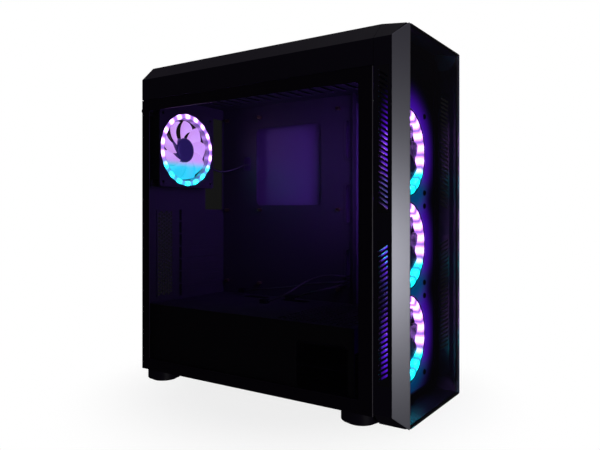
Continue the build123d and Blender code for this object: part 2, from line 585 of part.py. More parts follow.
with BuildPart() as power_button:
    rod(z_plane(TOP_Z - 4), [(-50, -158)], 8, 4 - 0.2)
    rod(z_plane(TOP_Z - 6.4), [(-50, -158)], 2, 2.4)
    chamfer(power_button.edges().group_by(Axis.Z)[-1], 0.4)
finish(power_button.part, "power_button")

with BuildPart() as reset_button:
    rod(z_plane(TOP_Z - 4), [(-30, -158)], 3.5, 4 - 0.2)
    rod(z_plane(TOP_Z - 6.4), [(-30, -158)], 1.5, 2.4)
    chamfer(reset_button.edges().group_by(Axis.Z)[-1], 0.3)
finish(reset_button.part, "reset_button")

with BuildPart() as status_light:
    rod(z_plane(TOP_Z - 16.4), [(-19, -158)], 1.2, 16)
finish(status_light.part, "status_light")

with BuildPart() as audio_jacks:
    for x in (-4, 10):
        with BuildSketch(z_plane(TOP_Z - 16.4)) as section:
            with Locations((x, -158)):
                Circle(3.0)
                Circle(1.8, mode=Mode.SUBTRACT)
        extrude(section.sketch, amount=16.2)
finish(audio_jacks.part, "audio_jacks")

with BuildPart() as usb_sockets:
    for x in (29, 49):
        panels(z_plane(TOP_Z - 16.4), [(x, -158)], 14, 6.2, 16.2)
        panels(z_plane(TOP_Z - 14.4), [(x, -158)], 12.6, 4.8, 14.4, Mode.SUBTRACT)
        panels(z_plane(TOP_Z - 14.4), [(x, -159.2)], 11, 1.8, 12)
finish(usb_sockets.part, "usb_sockets")

# Side panels: folded steel sheet, windowed on the left and plain on the right
for name, side in (("side_panel_left", -1), ("side_panel_right", 1)):
    skin = sorted((side * HALF_WIDTH, side * (HALF_WIDTH - 1)))
    fold = sorted((side * (HALF_WIDTH - 1), side * (HALF_WIDTH - 3)))
    tab = sorted((side * (HALF_WIDTH - 1), side * 88.2))
    with BuildPart() as panel:
        block(skin, (PANEL_FRONT_Y, PANEL_REAR_Y), (BODY_BOTTOM, PANEL_TOP))
        front_edges = panel.edges().filter_by(Axis.Z).group_by(Axis.Y)[0].sort_by(Axis.X)
        chamfer(front_edges[0 if side < 0 else -1], 0.8)
        block(fold, (PANEL_FRONT_Y + 2, PANEL_REAR_Y), (BODY_BOTTOM, BODY_BOTTOM + 1))
        block(fold, (PANEL_FRONT_Y + 2, PANEL_REAR_Y), (PANEL_TOP - 1, PANEL_TOP))
        block(tab, (REAR_WALL_Y, REAR_WALL_Y + 1), (BODY_BOTTOM + 6, PANEL_TOP - 4))
        block(sorted((side * (HALF_WIDTH - 1), side * (HALF_WIDTH - 2))), (REAR_WALL_Y, PANEL_REAR_Y),
              (BODY_BOTTOM, PANEL_TOP))
        if side < 0:
            centre = [((WINDOW_Y[0] + WINDOW_Y[1]) / 2, (WINDOW_Z[0] + WINDOW_Z[1]) / 2)]
            size = (WINDOW_Y[1] - WINDOW_Y[0], WINDOW_Z[1] - WINDOW_Z[0])
            panels(x_plane(-HALF_WIDTH), centre, size[0], size[1], 1, Mode.SUBTRACT, 3)
        holes = [(side * THUMB_X, z) for z in THUMB_Z[:1 + (side > 0)]]
        rod(y_plane(REAR_WALL_Y + 1), holes, 1.9, 1, Mode.SUBTRACT)
    finish(panel.part, name)

with BuildPart() as side_window:
    border = [(low - 8, high + 8) for low, high in (WINDOW_Y, WINDOW_Z)]
    block((-HALF_WIDTH + 1, -HALF_WIDTH + 4), *border)
finish(side_window.part, "side_window")

# Knurled captive thumbscrews
THUMBS = {"thumbscrew_left": [(-THUMB_X, THUMB_Z[0])], "thumbscrews_right": [(THUMB_X, z) for z in THUMB_Z]}
for name, spots in THUMBS.items():
    with BuildPart() as thumbs:
        rod(y_plane(REAR_WALL_Y + 8), spots, 4.6, 7)
        rod(y_plane(REAR_WALL_Y + 1), spots, 1.5, 2.2)
        chamfer(thumbs.edges().group_by(Axis.Y)[-1], 0.6)
    finish(thumbs.part, name)

# Dust filter that slides out backwards under the power supply
with BuildPart() as psu_filter:
    block((-45.5, 45.5), (68, 217), (BODY_BOTTOM - 3, BODY_BOTTOM - 0.8))
    gaps = [(-21.5 + 43 * i, 84.0 + 13 * j) for i in range(2) for j in range(9)]
    panels(z_plane(BODY_BOTTOM - 3), gaps, 38, 10, 2.2, Mode.SUBTRACT, 1)
    block((-23, 23), (214, 218), (BODY_BOTTOM - 8, BODY_BOTTOM - 3))
finish(psu_filter.part, "psu_dust_filter")

# Four screws of the power supply
with BuildPart() as psu_screws:
    rod(y_plane(REAR_WALL_Y + 2.2), [(-68.5, 104), (-68.5, 26), (74.5, 104), (74.5, 26)], 3.6, 2.2)
finish(psu_screws.part, "psu_screws")


# Lead of the rear fan
finish(tube(REAR_LEAD, REAR_LEAD_RADIUS), "rear_fan_lead")

# Three loose header leads from the low cable slot
with BuildPart() as header_leads:
    for route in HEADERS:
        add(tube(route, HEADER_RADIUS))
finish(header_leads.part, "header_leads")

# Plugs at the loose ends of the header leads
with BuildPart() as header_plugs:
    block((61, 71), (145, 157), (121, 127))
    block((57, 67), (45, 57), (117.5, 124.5))
    block((8, 18), (59, 71), (SHROUD_TOP, SHROUD_TOP + 6))
finish(header_plugs.part, "header_plugs")
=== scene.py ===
import math

import bmesh
import bpy
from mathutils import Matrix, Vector


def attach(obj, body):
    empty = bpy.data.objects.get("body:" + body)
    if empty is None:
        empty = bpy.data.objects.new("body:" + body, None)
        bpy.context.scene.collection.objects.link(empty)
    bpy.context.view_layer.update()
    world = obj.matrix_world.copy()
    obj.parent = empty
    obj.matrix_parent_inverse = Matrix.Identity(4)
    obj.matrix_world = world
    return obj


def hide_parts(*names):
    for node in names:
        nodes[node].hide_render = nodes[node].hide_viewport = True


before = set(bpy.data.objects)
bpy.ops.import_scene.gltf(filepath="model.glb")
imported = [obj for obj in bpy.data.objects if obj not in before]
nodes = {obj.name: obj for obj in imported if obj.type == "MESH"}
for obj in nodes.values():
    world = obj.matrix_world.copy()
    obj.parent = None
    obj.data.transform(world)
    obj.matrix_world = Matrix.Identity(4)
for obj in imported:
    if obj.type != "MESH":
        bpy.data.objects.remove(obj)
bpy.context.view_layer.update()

# ---------------------------------------------------------------------------
# Steel chassis: floor, walls, roof plate, tray, shroud, cage and slot covers.
# Folded 1 mm and 1.2 mm steel sheet, riveted and finished in fine matt black
# powder coat, so it is almost even with a very small grain.


class Shade:
    """One output of a material's node tree, so that numbers read as sums."""

    def __init__(self, tree, socket):
        self.tree = tree
        self.socket = socket

    def sum(self, kind, first, second=None, third=None):
        node = self.tree.nodes.new("ShaderNodeMath")
        node.operation = kind
        for place, value in enumerate((first, second, third)):
            if isinstance(value, Shade):
                self.tree.links.new(value.socket, node.inputs[place])
            elif value is not None:
                node.inputs[place].default_value = value
        return Shade(self.tree, node.outputs[0])

    @staticmethod
    def node(tree, kind, settings=None, inputs=None, output=0):
        """Any other node, from its type, settings and sockets."""
        made = tree.nodes.new(kind)
        for key, value in (settings or {}).items():
            setattr(made, key, value)
        for key, value in (inputs or {}).items():
            if isinstance(value, Shade):
                tree.links.new(value.socket, made.inputs[key])
            else:
                made.inputs[key].default_value = value
        return Shade(tree, made.outputs[output])

    def __add__(self, other):
        return self.sum("ADD", self, other)

    def __radd__(self, other):
        return self.sum("ADD", other, self)

    def __sub__(self, other):
        return self.sum("SUBTRACT", self, other)

    def __rsub__(self, other):
        return self.sum("SUBTRACT", other, self)

    def __mul__(self, other):
        return self.sum("MULTIPLY", self, other)

    def __rmul__(self, other):
        return self.sum("MULTIPLY", other, self)

    def __truediv__(self, other):
        return self.sum("DIVIDE", self, other)

    def __rtruediv__(self, other):
        return self.sum("DIVIDE", other, self)

    def __pow__(self, other):
        return self.sum("POWER", self, other)

    def cos(self):
        return self.sum("COSINE", self)

    def step(self, low, high):
        """0 below low, 1 above high and smooth between them."""
        limits = {"Value": self, "From Min": low, "From Max": high}
        return Shade.node(self.tree, "ShaderNodeMapRange", {"interpolation_type": "SMOOTHSTEP"}, limits, "Result")

    def split(self):
        """The three parts of a vector."""
        parts = Shade.node(self.tree, "ShaderNodeSeparateXYZ", None, {"Vector": self})
        return [Shade(self.tree, part) for part in parts.socket.node.outputs]

    def blend(self, first, second):
        """A colour that goes from the first to the second as this goes from 0 to 1."""
        ends = {place: end if isinstance(end, Shade) else (*end, 1) for place, end in ((6, first), (7, second))}
        return Shade.node(self.tree, "ShaderNodeMix", {"data_type": "RGBA"}, {0: self, **ends}, 2)


class Finish:
    """A material with one main shader; constants sit on its own sockets."""

    def __init__(self, name, colour, rough, **fixed):
        self.material = bpy.data.materials.new(name)
        self.material.use_nodes = True
        self.tree = self.material.node_tree
        self.shader = self.tree.nodes["Principled BSDF"]
        self.shader.inputs["Base Color"].default_value = (*colour, 1)
        self.shader.inputs["Roughness"].default_value = rough
        for key, value in fixed.items():
            self.shader.inputs[key.replace("_", " ")].default_value = value

    def node(self, kind, settings=None, inputs=None, output=0):
        return Shade.node(self.tree, kind, settings, inputs, output)

    def place(self):
        return self.node("ShaderNodeTexCoord", output="Object")

    def noise(self, scale, detail=2.0):
        inputs = {"Vector": self.place(), "Scale": scale, "Detail": detail}
        return self.node("ShaderNodeTexNoise", None, inputs, "Fac")

    def vary(self, socket, value):
        self.tree.links.new(value.socket, self.shader.inputs[socket])

    def grain(self, scale, height):
        bump = self.node("ShaderNodeBump", None, {"Strength": 0.25, "Distance": height, "Height": self.noise(scale)})
        self.vary("Normal", bump)

    def put_on(self, *names):
        for name in names:
            nodes[name].data.materials.clear()
            nodes[name].data.materials.append(self.material)
        return self.material


steel = Finish("black powder coat", (0.022, 0.02, 0.025), 0.5, Specular_IOR_Level=0.4)
steel.grain(2600, 0.00004)
steel.vary("Roughness", 0.44 + 0.12 * steel.noise(40))
steel.put_on(
    "base_pan", "rear_wall", "top_plate", "motherboard_tray", "psu_shroud", "shroud_roof",
    "expansion_slot_covers", "rear_vent", "drive_cage", "psu_case")

# ---------------------------------------------------------------------------
# Front wall: the same coated sheet, with a soft violet and cyan spill of fan light
# painted on as glow round each of its three fan openings, fading out within a few centimetres.
lit_wall = Finish("front wall coat painted spill", (0.008, 0.006, 0.012), 0.45, Emission_Strength=1.1)
x, y, z = lit_wall.place().split()
halo, low = 0.0, 0.0
for centre in (0.090, 0.213, 0.336):
    reach = (x * x + (z - centre) * (z - centre)) ** 0.5
    near = 1.0 - reach.step(0.050, 0.118)
    halo = near * near + halo
    low = (centre - z).step(0.020, 0.055) * near + low
# painted light: violet spill above each fan opening, cyan spill below it, as emission
glow = low.step(0.1, 0.9).blend((0.15, 0.01, 1.0), (0.0, 0.12, 0.4))
lit_wall.vary("Emission Color", halo.step(0.0, 1.2).blend((0, 0, 0), glow))
lit_wall.put_on("front_wall")

# ---------------------------------------------------------------------------
# Side panels: steel sheet with folded edges, same coat but smoother, slid on
# along the case and held at the back by thumbscrews.
panel_coat = Finish("side panel coat painted light", (0.0045, 0.0036, 0.0065), 0.36, Specular_IOR_Level=0.25)
panel_coat.vary("Roughness", 0.32 + 0.08 * panel_coat.noise(25))
x, y, z = panel_coat.place().split()
# painted light: the inner faces are a lighter violet for the fan light falling on them; the outer faces stay dark
face = x.sum("ABSOLUTE", x).step(0.0993, 0.0997).blend((0.1, 0.07, 0.13), (0.009, 0.006, 0.013))
# painted highlight: a light grey band along each panel's front edge, for a bright line on the chamfer
panel_coat.vary("Base Color", y.step(-0.1798, -0.1790).blend((0.2, 0.18, 0.22), face))
panel_coat.put_on("side_panel_left", "side_panel_right")

# Side window: one flat tinted sheet behind the panel's opening, held on by a
# taped border, so the edge of the sheet is hidden by the panel.
window = Finish("tinted window", (0.006, 0.005, 0.008), 0.03, Alpha=0.24, IOR=1.45, Specular_IOR_Level=0.3)
window.put_on("side_window")

# ---------------------------------------------------------------------------
# Top cover and front bezel: thick moulded plastic, satin black, with crisp
# 45 degree facets. Clipped on over the steel.
moulding = Finish("satin black plastic", (0.016, 0.012, 0.026), 0.33, Specular_IOR_Level=0.3)
moulding.grain(1500, 0.00003)
moulding.vary("Roughness", 0.3 + 0.1 * moulding.noise(30))
moulding.put_on("front_bezel", "feet", "control_board", "drive_tray_lower", "drive_tray_upper", "fan_hub")

# The cover has the same satin face; its lower rim is left as it comes from the
# mould, matt, where it lies over the steel.
cover = Finish("satin cover plastic", (0.016, 0.012, 0.026), 0.33, Specular_IOR_Level=0.3)
cover.grain(1500, 0.00003)
x, y, z = cover.place().split()
cover.vary("Roughness", (0.3 + 0.1 * cover.noise(30)) + 0.6 * (1.0 - z.step(0.42905, 0.4292)))
cover.put_on("top_cover")

# Slanted-slot inserts of the bezel's sides: glossier plastic, pressed in.
insert = Finish("vent insert plastic", (0.014, 0.012, 0.018), 0.25)
insert.put_on("side_vents_left", "side_vents_right")

# Front glass: 4 mm smoked tempered glass with polished edges, bonded to the
# bezel. Dark to look at and clear enough for the lit fans behind it.
smoked = Finish("smoked front glass", (0.004, 0.0035, 0.005), 0.025, IOR=1.5, Specular_IOR_Level=0.35)
x, y, z = smoked.place().split()
# painted highlight: the side edges of the glass are light grey and nearly opaque, for the bright polished edges
edge = x.sum("ABSOLUTE", x).step(0.0832, 0.0842)
smoked.vary("Alpha", 0.42 + 0.5 * edge)
smoked.vary("Base Color", edge.blend((0.004, 0.0035, 0.005), (0.34, 0.33, 0.36)))
smoked.put_on("front_glass")

# Corner strips: rolled aluminium, satin anodised grey, bonded along both
# front corners, with fine lines along its length from the rolling.
strip = Finish("satin aluminium strip", (0.40, 0.40, 0.46), 0.36, Metallic=0.9)
x, y, z = strip.place().split()
line_inputs = {"W": (x - y) * 1.0, "Scale": 5200.0, "Detail": 1.0}
lines = strip.node("ShaderNodeTexNoise", {"noise_dimensions": "1D"}, line_inputs, "Fac")
strip.vary("Roughness", 0.28 + 0.1 * lines)
strip.put_on("trim_strip_left", "trim_strip_right")

# ---------------------------------------------------------------------------
# Small plastic, rubber, brass and bright metal pieces. Soft rubber pads and
# cable rings, turned brass standoffs, zinc plated sockets and wire guard.
rubber = Finish("black rubber", (0.012, 0.012, 0.012), 0.8)
rubber.grain(900, 0.0001)
rubber.put_on("foot_pads", "cable_grommets")

brass = Finish("turned brass", (0.44, 0.34, 0.18), 0.3, Metallic=1.0)
brass.vary("Roughness", 0.24 + 0.15 * brass.noise(300))
brass.put_on("motherboard_standoffs")

zinc = Finish("bright zinc", (0.55, 0.55, 0.57), 0.28, Metallic=1.0)
zinc.vary("Roughness", 0.22 + 0.16 * zinc.noise(180))
zinc.put_on("usb_sockets", "psu_fan_guard", "psu_screws")

gloss = Finish("polished black plastic", (0.01, 0.01, 0.012), 0.14)
gloss.put_on("audio_jacks", "psu_power_inlet", "psu_switch_frame", "psu_fan_rotor")

switch = Finish("switch rocker", (0.016, 0.016, 0.018), 0.22)
switch.put_on("psu_switch_rocker")

button = Finish("spun button cap", (0.09, 0.09, 0.1), 0.26, Metallic=0.8)
x, y, z = button.place().split()
rings = ((x + 0.05) * (x + 0.05) + (y + 0.158) * (y + 0.158)) ** 0.5
button.vary("Roughness", 0.22 + 0.08 * (rings * 25000.0).cos())
button.put_on("power_button", "reset_button")

indicator = Finish(
    "clear light pipe", (0.7, 0.8, 1.0), 0.2, Emission_Color=(0.45, 0.65, 1.0, 1), Emission_Strength=3.0)
indicator.put_on("status_light")

# ---------------------------------------------------------------------------
# Fan frames: moulded glass-filled plastic with a motor on four arms. Matt
# black; they catch the colour of the light rings they carry.
fan_plastic = Finish("fan frame plastic", (0.02, 0.019, 0.022), 0.42)
fan_plastic.grain(1800, 0.00003)
FANS = {
    "fan_lower": (0.0, -0.1798, 0.090), "fan_middle": (0.0, -0.1798, 0.213),
    "fan_upper": (0.0, -0.1798, 0.336), "fan_rear": (-0.031, 0.1858, 0.357)}
fan_plastic.put_on(*[name + "_frame" for name in FANS])

# Light rings: a milky light guide 8 mm wide and 10 mm deep with eighteen
# diodes behind it, violet over the top and cyan over the bottom.


def mesh_object(name, vertices, faces, material, uv=None, smooth=True):
    """A new object from plain lists, with outward faces."""
    data = bpy.data.meshes.new(name)
    data.from_pydata(vertices, [], faces)
    if uv:
        layer = data.uv_layers.new(name="UVMap")
        for poly in data.polygons:
            for loop in poly.loop_indices:
                layer.data[loop].uv = uv[data.loops[loop].vertex_index]
    work = bmesh.new()
    work.from_mesh(data)
    bmesh.ops.recalc_face_normals(work, faces=work.faces)
    work.to_mesh(data)
    work.free()
    for poly in data.polygons:
        poly.use_smooth = smooth
    data.materials.append(material)
    made = bpy.data.objects.new(name, data)
    bpy.context.scene.collection.objects.link(made)
    return made


RING_RADIUS = 0.057
VIOLET, CYAN = (0.55, 0.22, 1.0), (0.002, 0.62, 0.85)


def lathe(name, outline, centre, material, around=108, hollow=True):
    """A closed ring or knob turned about Y, from (radius, depth) points."""
    vertices, faces, uv = [], [], []
    count = len(outline)
    for n in range(around):
        turn = 2 * math.pi * n / around
        for radius, depth in outline:
            across, up = radius * math.sin(turn), radius * math.cos(turn)
            vertices.append((centre[0] + across, centre[1] + depth, centre[2] + up))
            uv.append((0.5 + 0.5 * across / RING_RADIUS, 0.5 + 0.5 * up / RING_RADIUS))
    for n in range(around):
        for place in range(count if hollow else count - 1):
            a, b = n * count + place, n * count + (place + 1) % count
            c, d = (n + 1) % around * count + (place + 1) % count, (n + 1) % around * count + place
            faces.append((a, b, c, d))
    if not hollow:
        faces.append([n * count for n in range(around)])
        faces.append([n * count + count - 1 for n in range(around)])
    return mesh_object(name, vertices, faces, material, uv)


def lit(name, colour, strength, diodes, upper, lower, spread, base=0.04, rim=-1.0):
    """A finish that glows violet above and cyan below, from the UV disc."""
    made = Finish(name, colour, 0.4, Emission_Strength=strength)
    u, v, w = made.node("ShaderNodeUVMap", {"uv_map": "UVMap"}).split()
    across, up = 2.0 * u - 1.0, 2.0 * v - 1.0
    turn = across.sum("ARCTAN2", across, up)
    spots = ((turn * diodes).cos() * 0.5 + 0.5) ** spread
    out = ((across * across + up * up) ** 0.5).step(rim - 0.02, rim + 0.02)
    bright = (base + (1.0 - base) * spots) * (0.06 + 0.94 * out)
    made.vary("Emission Color", bright.blend((0, 0, 0), up.step(-0.5, -0.25).blend(lower, upper)))
    return made


MILKY = (0.6, 0.55, 0.7)
DIODES = 18
ring_glow = lit("lit front ring guide", MILKY, 18.0, DIODES, VIOLET, CYAN, 1.0, 0.12)
rear_glow = lit("lit rear ring guide", MILKY, 16.0, DIODES, (0.55, 0.25, 1.0), CYAN, 2.0, 0.08, 0.885)
RING = [
    (0.0498, 0.0004), (0.0492, 0.001), (0.049, 0.002), (0.049, 0.010), (RING_RADIUS, 0.010),
    (RING_RADIUS, 0.0012), (0.0566, 0.0005), (0.056, 0.0002), (0.0535, 0.0)]
for name, (cx, cy, cz) in FANS.items():
    guide = rear_glow if name == "fan_rear" else ring_glow
    ring = lathe(name + "_lit_ring", RING, (cx, cy, cz), guide.material, 144)
    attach(ring, "chassis")
    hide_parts(name + "_light_ring")

# Rotors: one moulding of frosted plastic, nine swept blades on a cup with a
# plain cap over the motor. The ring's violet and cyan are painted on the blades and the cap as glow.


def repeat(name, points, turns, pieces, material):
    """Copies of one closed shape at points, each with its own turn."""
    cloud = bpy.data.meshes.new(name + " points")
    cloud.from_pydata(points, [], [])
    attribute = cloud.attributes.new("turn", "FLOAT_VECTOR", "POINT")
    for place, turn in enumerate(turns):
        attribute.data[place].vector = turn
    host = bpy.data.objects.new(name, cloud)
    bpy.context.scene.collection.objects.link(host)
    group = bpy.data.node_groups.new(name + " repeat", "GeometryNodeTree")
    group.interface.new_socket("Points", in_out="INPUT", socket_type="NodeSocketGeometry")
    piece_socket = group.interface.new_socket("Piece", in_out="INPUT", socket_type="NodeSocketObject")
    finish_socket = group.interface.new_socket("Finish", in_out="INPUT", socket_type="NodeSocketMaterial")
    group.interface.new_socket("Copies", in_out="OUTPUT", socket_type="NodeSocketGeometry")
    make, link = group.nodes.new, group.links.new
    start, end = make("NodeGroupInput"), make("NodeGroupOutput")
    piece, copies = make("GeometryNodeObjectInfo"), make("GeometryNodeInstanceOnPoints")
    turn, spin = make("GeometryNodeInputNamedAttribute"), make("FunctionNodeEulerToRotation")
    real, paint = make("GeometryNodeRealizeInstances"), make("GeometryNodeSetMaterial")
    turn.data_type = "FLOAT_VECTOR"
    turn.inputs["Name"].default_value = "turn"
    link(start.outputs["Piece"], piece.inputs["Object"])
    link(start.outputs["Points"], copies.inputs["Points"])
    link(piece.outputs["Geometry"], copies.inputs["Instance"])
    link(turn.outputs["Attribute"], spin.inputs["Euler"])
    link(spin.outputs["Rotation"], copies.inputs["Rotation"])
    link(copies.outputs["Instances"], real.inputs["Geometry"])
    link(real.outputs["Geometry"], paint.inputs["Geometry"])
    link(start.outputs["Finish"], paint.inputs["Material"])
    link(paint.outputs["Geometry"], end.inputs["Copies"])
    modifier = host.modifiers.new("repeat", "NODES")
    modifier.node_group = group
    modifier[piece_socket.identifier] = pieces
    modifier[finish_socket.identifier] = material
    ready = host.evaluated_get(bpy.context.evaluated_depsgraph_get())
    plain = bpy.data.meshes.new_from_object(ready)
    host.modifiers.clear()
    host.data = plain
    bpy.data.objects.remove(pieces)
    return host


def join(first, *others):
    """Puts the meshes of several objects into the first one."""
    work = bmesh.new()
    for thing in (first, *others):
        work.from_mesh(thing.data)
    work.to_mesh(first.data)
    work.free()
    for thing in others:
        bpy.data.objects.remove(thing)
    return first


def blade(material, inner, tip, depth, thick):
    """One swept, twisted blade on the +Z side, spin axis Y."""
    vertices, faces = [], []
    rows, steps = 9, 12
    for row in range(rows):
        part = row / (rows - 1)
        radius = inner + (tip - inner) * part
        chord = 0.0230 + 0.021 * part
        lean = math.radians(36 - 14 * part)
        sweep = 0.34 * part * part
        for side in (1, -1):
            for step in range(steps):
                along = step / (steps - 1) - 0.5
                curve = (0.25 - along * along) * 0.0055
                half = thick * (1 - (2 * along) ** 4 * 0.75) * 0.5 * side
                across = along * chord * math.cos(lean) + curve * math.sin(lean)
                deep = along * chord * math.sin(lean) - curve * math.cos(lean) + half
                deep = max(-depth, min(depth, deep))
                angle = across / radius + sweep
                vertices.append((radius * math.sin(angle), deep, radius * math.cos(angle)))
    ring = 2 * steps
    for row in range(rows - 1):
        for step in range(steps - 1):
            for side in (0, steps):
                a = row * ring + side + step
                faces.append((a, a + 1, a + 1 + ring, a + ring))
        for ends in (0, steps - 1):
            a, b = row * ring + ends, row * ring + steps + ends
            faces.append((a, b, b + ring, a + ring))
    for row in (0, rows - 1):
        for a in range(row * ring, row * ring + steps - 1):
            faces.append((a, a + 1, a + steps + 1, a + steps))
    return mesh_object("blade", vertices, faces, material)


BLADES = 9
# painted light: the blades glow violet above and cyan below, strongly on the rear fan and faintly on the front fans;
# the blue tint of their base colour is painted cyan light as well
frosted = lit("frosted blades", (0.16, 0.36, 0.55), 1.15, 0.0, (0.85, 0.42, 1.0), (0.0, 0.85, 1.0), 1.0)
dim_frosted = lit("dim frosted blades", (0.04, 0.03, 0.09), 0.02, 0.0, (0.25, 0.06, 1.0), (0.01, 0.62, 0.85), 1.0)
# painted light: the motor cap glows a faint violet
cap = Finish("motor cap painted glow", (0.012, 0.01, 0.03), 0.35, Emission_Color=(0.18, 0.1, 1.0, 1), Emission_Strength=0.12)
CUP = [
    (0.0, 0.0035), (0.0150, 0.0035), (0.0178, 0.0042), (0.0192, 0.0056),
    (0.0198, 0.008), (0.0198, 0.0205), (0.0, 0.0205)]
for name, (cx, cy, cz) in FANS.items():
    blades_finish = frosted if name == "fan_rear" else dim_frosted
    one = blade(blades_finish.material, 0.0190, 0.0470, 0.0078, 0.0014)
    turns = [(0, 2 * math.pi * n / BLADES, 0) for n in range(BLADES)]
    rotor = repeat(name + "_blades", [(cx, cy + 0.0130, cz)] * BLADES, turns, one, blades_finish.material)
    layer = rotor.data.uv_layers.new(name="UVMap")
    for loop in rotor.data.loops:
        spot = rotor.data.vertices[loop.vertex_index].co
        layer.data[loop.index].uv = [0.5 + 0.5 * way / RING_RADIUS for way in (spot.x - cx, spot.z - cz)]
    for poly in rotor.data.polygons:
        poly.use_smooth = True
    hub = lathe(name + "_hub", CUP, (cx, cy, cz), cap.material, 64, hollow=False)
    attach(rotor, name + "_rotor")
    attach(hub, name + "_rotor")
    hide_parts(name + "_rotor")
    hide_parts(name + "_rotor")

# ---------------------------------------------------------------------------
# Fan screws: black zinc self-tapping screws with a domed head and a cross
# recess, driven through the steel into each frame's corners.
black_zinc = Finish("black zinc", (0.035, 0.035, 0.04), 0.3, Metallic=0.9)
black_zinc.vary("Roughness", 0.26 + 0.12 * black_zinc.noise(400))


def screw_head(name, radius, height, material):
    """A domed head with a shallow cross, facing -Y, its seat at y = 0."""
    vertices, faces = [], []
    around, rings = 24, ((1.0, 0.0), (0.98, 0.45), (0.8, 0.86), (0.55, 0.97), (0.3, 1.0))
    for share, rise in rings:
        for n in range(around):
            turn = 2 * math.pi * n / around
            notch = 0.35 if share < 0.6 and n % 6 == 0 else 0.0
            out = radius * share
            vertices.append((out * math.sin(turn), -height * (rise - notch), out * math.cos(turn)))
    for level in range(len(rings) - 1):
        for n in range(around):
            m = (n + 1) % around
            faces.append((level * around + n, level * around + m, (level + 1) * around + m, (level + 1) * around + n))
    vertices.append((0, -height * 0.5, 0))
    last = (len(rings) - 1) * around
    faces += [(last + n, last + (n + 1) % around, len(vertices) - 1) for n in range(around)]
    faces.append(list(range(around)))
    return mesh_object(name, vertices, faces, material, smooth=False)


spots, turns = [], []
for name, (cx, cy, cz) in FANS.items():
    for sx in (-1, 1):
        for sz in (-1, 1):
            rear = name == "fan_rear"
            spots.append((cx + sx * 0.0525, 0.212 if rear else -0.181, cz + sz * 0.0525))
            turns.append((0, 0.4 * sx * sz, math.pi if rear else 0))
head = screw_head("head", 0.0038, 0.002, black_zinc.material)
screws = repeat("fan_screw_heads", spots, turns, head, black_zinc.material)
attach(screws, "chassis")
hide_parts("fan_screws")

# ---------------------------------------------------------------------------
# Thumbscrews: turned steel heads with straight knurling, black, captive in
# the folded rear edge of each side panel.


def thumbscrew(name, x, z, material):
    """A knurled head with a chamfered end and a slotless face."""
    vertices, faces, around = [], [], 72
    rows = ((0.0015, 0.2108), (0.0015, 0.213), (0.0040, 0.213), (0.0046, 0.2136), (0.0046, 0.2192), (0.0040, 0.22))
    for radius, deep in rows:
        for n in range(around):
            turn = 2 * math.pi * n / around
            groove = 0.00032 if n % 2 and radius > 0.0043 else 0.0
            vertices.append((x + (radius - groove) * math.sin(turn), deep, z + (radius - groove) * math.cos(turn)))
    for level in range(len(rows) - 1):
        for n in range(around):
            m = (n + 1) % around
            faces.append((level * around + n, level * around + m, (level + 1) * around + m, (level + 1) * around + n))
    faces.append(list(range(around)))
    faces.append(list(range((len(rows) - 1) * around, len(rows) * around)))
    return mesh_object(name, vertices, faces, material, smooth=False)


left = thumbscrew("left_thumbscrew", -0.0924, 0.4136, black_zinc.material)
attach(left, "side_panel_left")
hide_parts("thumbscrew_left")
right = join(
    thumbscrew("right_thumbscrews", 0.0924, 0.4136, black_zinc.material),
    thumbscrew("lower", 0.0924, 0.060, black_zinc.material))
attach(right, "side_panel_right")
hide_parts("thumbscrews_right")

# ---------------------------------------------------------------------------
# Dust filters: a moulded rim with nylon mesh welded in. The upper one lies in
# the cover; the lower one slides in rails under the power supply.
mesh_black = Finish("black nylon mesh", (0.014, 0.014, 0.015), 0.6)


def bar(name, low, high, material):
    """A plain box between two corners."""
    work = bmesh.new()
    bmesh.ops.create_cube(work, size=1.0)
    for vertex in work.verts:
        vertex.co = Vector([low[n] if vertex.co[n] < 0 else high[n] for n in range(3)])
    data = bpy.data.meshes.new(name)
    work.to_mesh(data)
    work.free()
    data.materials.append(material)
    made = bpy.data.objects.new(name, data)
    bpy.context.scene.collection.objects.link(made)
    return made


def filter_mesh(name, x, y, z, rim, pitch, ribs, material):
    """A rim with ribs and crossed threads, from its outer corners."""
    parts = []
    for low, high in (((x[0], y[0]), (x[1], y[0] + rim)), ((x[0], y[1] - rim), (x[1], y[1])),
                      ((x[0], y[0] + rim), (x[0] + rim, y[1] - rim)), ((x[1] - rim, y[0] + rim), (x[1], y[1] - rim))):
        parts.append(bar(name + "_rim", (*low, z[0]), (*high, z[1]), material))
    for n in range(ribs):
        at = y[0] + (y[1] - y[0]) * (n + 1) / (ribs + 1)
        parts.append(bar("rib", (x[0] + rim, at - 0.0012, z[0]), (x[1] - rim, at + 0.0012, z[1] - 0.0006), material))
    middle = (z[0] + z[1]) / 2
    width, length = x[1] - x[0] - 2 * rim, y[1] - y[0] - 2 * rim
    lengthways = bar("thread", (-0.0003, -length / 2, -0.0002), (0.0003, length / 2, 0.0002), material)
    crossways = bar("thread", (-width / 2, -0.0003, -0.0002), (width / 2, 0.0003, 0.0002), material)
    columns, rows = int(width / pitch) - 1, int(length / pitch) - 1
    centre = ((x[0] + x[1]) / 2, (y[0] + y[1]) / 2)
    first = centre[0] - width / 2
    points = [(first + width * (n + 1) / (columns + 1), centre[1], middle) for n in range(columns)]
    parts.append(repeat(name + "_warp", points, [(0, 0, 0)] * columns, lengthways, material))
    first = centre[1] - length / 2
    points = [(centre[0], first + length * (n + 1) / (rows + 1), middle + 0.0004) for n in range(rows)]
    parts.append(repeat(name + "_weft", points, [(0, 0, 0)] * rows, crossways, material))
    return join(*parts)


